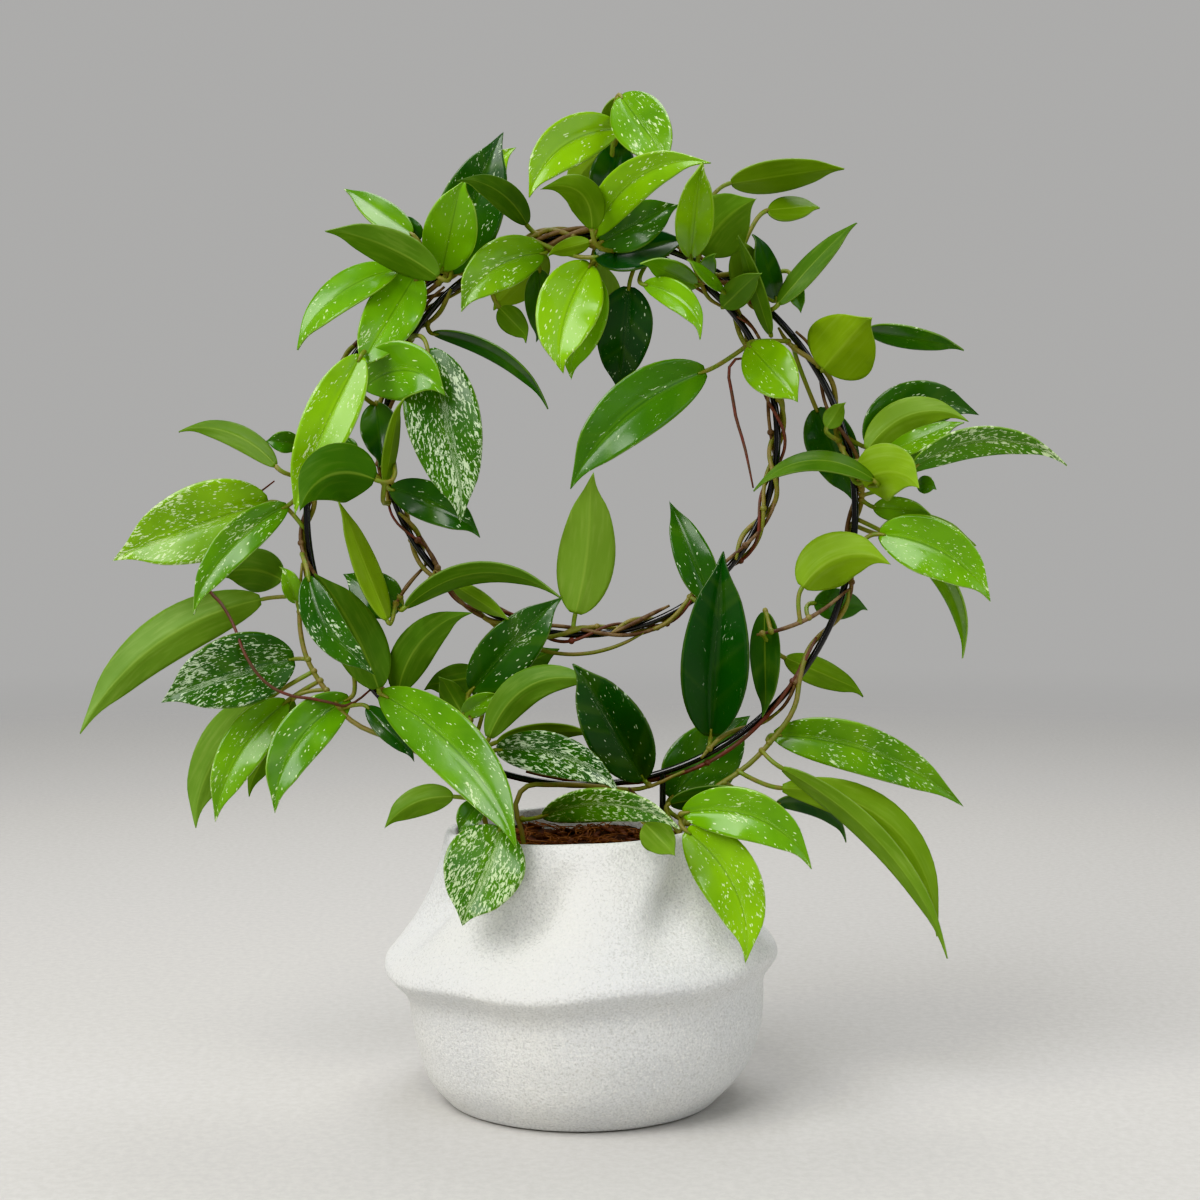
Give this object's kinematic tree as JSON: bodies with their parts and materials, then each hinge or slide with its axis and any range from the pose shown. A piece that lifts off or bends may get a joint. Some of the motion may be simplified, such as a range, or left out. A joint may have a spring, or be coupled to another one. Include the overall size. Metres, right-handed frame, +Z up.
{
  "type": "potted hoya plant",
  "caption": "Potted hoya with waxy, silver-flecked leaves on vines trained round a wire hoop and ring, in a cream ceramic pot with a wavy ridge and soft pleats.",
  "frame": {"origin": "centre of the pot's foot, on the surface that it stands on", "axes": "+Z up, the front faces -Y, +X to the right as seen from the front; the hoops lie in the XZ plane"},
  "size_m": [0.4837, 0.197, 0.502],
  "materials": {
    "cream_ceramic": "matte, fine sandy texture",
    "coir_and_bark": "rough, damp fibres and chips",
    "black_wire": "smooth gloss black",
    "hoya_green": "waxy and glossy above, matte below, with silver flecks"
  },
  "bodies": {
    "root": {"pot": "cream_ceramic", "potting_mix": "coir_and_bark", "trellis": "black_wire", "vine_top": "hoya_green", "vine_top_left": "hoya_green", "vine_top_right": "hoya_green", "vine_right": "hoya_green", "vine_lower_right": "hoya_green", "vine_bottom": "hoya_green", "vine_bottom_right": "hoya_green", "vine_bottom_left": "hoya_green", "vine_lower_left": "hoya_green", "vine_left": "hoya_green", "ring_vine_top_left": "hoya_green", "ring_vine_left": "hoya_green", "ring_vine_lower_left": "hoya_green", "ring_vine_bottom_left": "hoya_green", "ring_vine_bottom": "hoya_green", "ring_vine_bottom_right": "hoya_green", "ring_vine_lower_right": "hoya_green", "ring_vine_right": "hoya_green", "ring_vine_upper_right": "hoya_green"}
  },
  "joints": []
}
